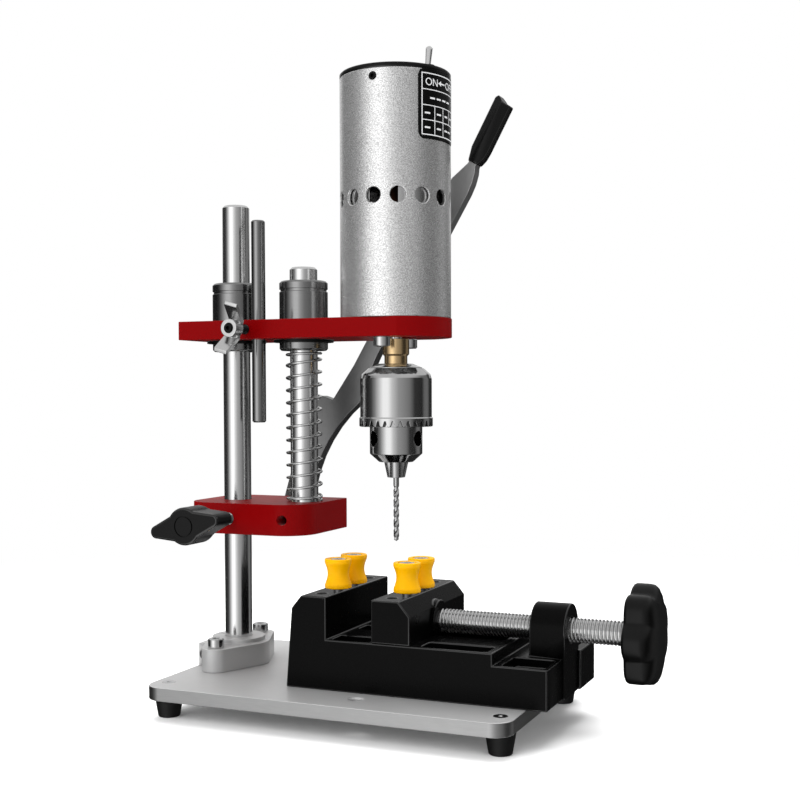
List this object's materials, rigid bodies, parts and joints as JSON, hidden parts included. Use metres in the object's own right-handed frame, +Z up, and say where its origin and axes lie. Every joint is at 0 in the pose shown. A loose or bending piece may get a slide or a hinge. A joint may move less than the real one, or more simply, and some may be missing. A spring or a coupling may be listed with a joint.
{
  "type": "mini drill press",
  "caption": "Small bench drill press: motor head on a round column and a guide shaft, pressed down by a side lever, with a key chuck, over a screw vise on a footed base plate.",
  "frame": {"origin": "centre of the base plate's underside, on the face that the feet are screwed to", "axes": "+Z up along the column; +X to the right along the base, from the column towards the vise's star knob; +Y to the back, away from the lock knob"},
  "size_m": [0.2071, 0.107, 0.2778],
  "materials": {
    "satin_aluminium": "satin",
    "red_anodised": "glossy red anodised",
    "blasted_aluminium": "bead-blasted",
    "chrome": "polished",
    "bright_steel": "bright",
    "spring_steel": "bright drawn wire",
    "lever_steel": "laser-cut plate, plated",
    "cast_zinc": "bright plated",
    "bearing_steel": "ground",
    "black_steel": "black oxide",
    "tool_steel": "ground",
    "black_casting": "glossy black",
    "black_plastic": "semi-gloss",
    "rubber": "matt",
    "yellow_nylon": "satin",
    "brass": "turned",
    "copper": "enamelled wire",
    "magnet": "matt",
    "motor_steel": "plated",
    "switch_metal": "plated",
    "dark_plastic": "matt"
  },
  "bodies": {
    "base": {"base_plate": "satin_aluminium", "feet": "rubber", "foot_screws": "bright_steel", "column_flange": "satin_aluminium", "flange_screws": "bright_steel", "flange_clamp_screw": "black_steel", "vise_body": "black_casting", "vise_bolts": "bright_steel", "fixed_posts": "yellow_nylon", "fixed_post_screws": "bright_steel"},
    "column": {"column": "chrome"},
    "block": {"lower_block": "red_anodised", "lock_pad": "brass", "guide_shaft": "chrome", "guide_set_screw": "black_steel", "return_spring": "spring_steel", "pivot_screw": "bright_steel", "pivot_washer": "bright_steel"},
    "lock": {"lock_knob": "black_plastic", "lock_screw": "bright_steel"},
    "head": {"head_plate": "red_anodised", "linear_bearings": "bearing_steel", "retaining_rings": "black_steel", "roller_screw": "bright_steel", "motor_housing": "blasted_aluminium", "top_cap": "black_plastic", "cap_screws": "black_steel", "motor_can": "motor_steel", "motor_end_bell": "dark_plastic", "motor_magnets": "magnet", "motor_bushes": "brass", "motor_screws": "bright_steel", "switch_body": "dark_plastic", "panel_nuts": "bright_steel", "power_inlet": "dark_plastic"},
    "lever": {"lever_arm": "lever_steel", "lever_grip": "black_plastic"},
    "roller": {"roller": "bright_steel"},
    "depth_rod": {"depth_rod": "chrome"},
    "wing_screw": {"wing_nut": "cast_zinc", "wing_stud": "bright_steel"},
    "spindle": {"armature": "copper", "motor_shaft": "bright_steel", "brass_coupling": "brass", "chuck_body": "chrome", "drill_bit": "tool_steel"},
    "chuck_sleeve": {"chuck_sleeve": "chrome", "chuck_nut": "tool_steel"},
    "chuck_jaw_1": {"chuck_jaw_1": "tool_steel"},
    "chuck_jaw_2": {"chuck_jaw_2": "tool_steel"},
    "chuck_jaw_3": {"chuck_jaw_3": "tool_steel"},
    "switch_lever": {"switch_lever": "switch_metal"},
    "vise_jaw": {"moving_jaw": "black_casting", "moving_posts": "yellow_nylon", "moving_post_screws": "bright_steel", "jaw_keeper": "bright_steel", "keeper_screw": "bright_steel", "retaining_pins": "bright_steel"},
    "vise_screw": {"lead_screw": "bright_steel", "star_knob": "black_plastic"}
  },
  "joints": [
    {"name": "column_swing", "type": "hinge", "parent": "base", "child": "column", "pos_m": [-0.066, 0.0035, 0.0057], "axis": [0, 0, 1], "range_deg": [-45, 45]},
    {"name": "height_slide", "type": "slide", "parent": "column", "child": "block", "axis": [0, 0, 1], "range_m": [-0.02, 0.03]},
    {"name": "lock_knob_turn", "type": "hinge", "parent": "block", "child": "lock", "pos_m": [-0.058, 0, 0.0723], "axis": [0, 1, 0], "range_deg": [0, 150]},
    {"name": "head_slide", "type": "slide", "parent": "block", "child": "head", "axis": [0, 0, -1], "range_m": [0, 0.034], "stiffness_N_per_m": 450, "springref_m": -0.03, "deforming": ["return_spring"]},
    {"name": "lever_swing", "type": "hinge", "parent": "block", "child": "lever", "pos_m": [-0.049, 0.0311, 0.0723], "axis": [0, 1, 0], "range_deg": [0, 14.21]},
    {"name": "roller_spin", "type": "hinge", "parent": "head", "child": "roller", "pos_m": [0.0039, 0.0311, 0.153], "axis": [0, 1, 0], "range_deg": [0, 372]},
    {"name": "depth_rod_slide", "type": "slide", "parent": "head", "child": "depth_rod", "axis": [0, 0, 1], "range_m": [-0.034, 0.03]},
    {"name": "wing_nut_turn", "type": "hinge", "parent": "head", "child": "wing_screw", "pos_m": [-0.0492, -0.02, 0.153], "axis": [0, 1, 0], "range_deg": [0, 270]},
    {"name": "spindle_spin", "type": "hinge", "parent": "head", "child": "spindle", "pos_m": [0.011, 0.0035, 0.1382], "axis": [0, 0, 1], "continuous": true},
    {"name": "chuck_sleeve_turn", "type": "hinge", "parent": "spindle", "child": "chuck_sleeve", "pos_m": [0.011, 0.0035, 0.12], "axis": [0, 0, -1], "range_deg": [0, 1920]},
    {"name": "chuck_jaw_1_slide", "type": "slide", "parent": "spindle", "child": "chuck_jaw_1", "axis": [0.091, -0.2241, 0.9703], "range_m": [0, 0.008]},
    {"name": "chuck_jaw_2_slide", "type": "slide", "parent": "spindle", "child": "chuck_jaw_2", "axis": [0.1486, 0.1909, 0.9703], "range_m": [0, 0.008]},
    {"name": "chuck_jaw_3_slide", "type": "slide", "parent": "spindle", "child": "chuck_jaw_3", "axis": [-0.2396, 0.0333, 0.9703], "range_m": [0, 0.008]},
    {"name": "switch_toggle", "type": "hinge", "parent": "head", "child": "switch_lever", "pos_m": [0.0255, 0.0035, 0.2585], "axis": [1, 0, 0], "range_deg": [0, 24]},
    {"name": "vise_jaw_slide", "type": "slide", "parent": "base", "child": "vise_jaw", "axis": [-1, 0, 0], "range_m": [-0.027, 0.0195]},
    {"name": "vise_screw_turn", "type": "hinge", "parent": "vise_jaw", "child": "vise_screw", "pos_m": [0.06, 0, 0.0316], "axis": [-1, 0, 0], "range_deg": [-6481, 4681]}
  ],
  "couplings": [
    {"joint": "lever_swing", "follows": "head_slide", "rad_per_m": 7.2893},
    {"joint": "roller_spin", "follows": "head_slide", "rad_per_m": 190},
    {"joint": "chuck_jaw_1_slide", "follows": "chuck_sleeve_turn", "m_per_rad": 0.00023873},
    {"joint": "chuck_jaw_2_slide", "follows": "chuck_sleeve_turn", "m_per_rad": 0.00023873},
    {"joint": "chuck_jaw_3_slide", "follows": "chuck_sleeve_turn", "m_per_rad": 0.00023873},
    {"joint": "vise_screw_turn", "follows": "vise_jaw_slide", "rad_per_m": 4188.8}
  ]
}
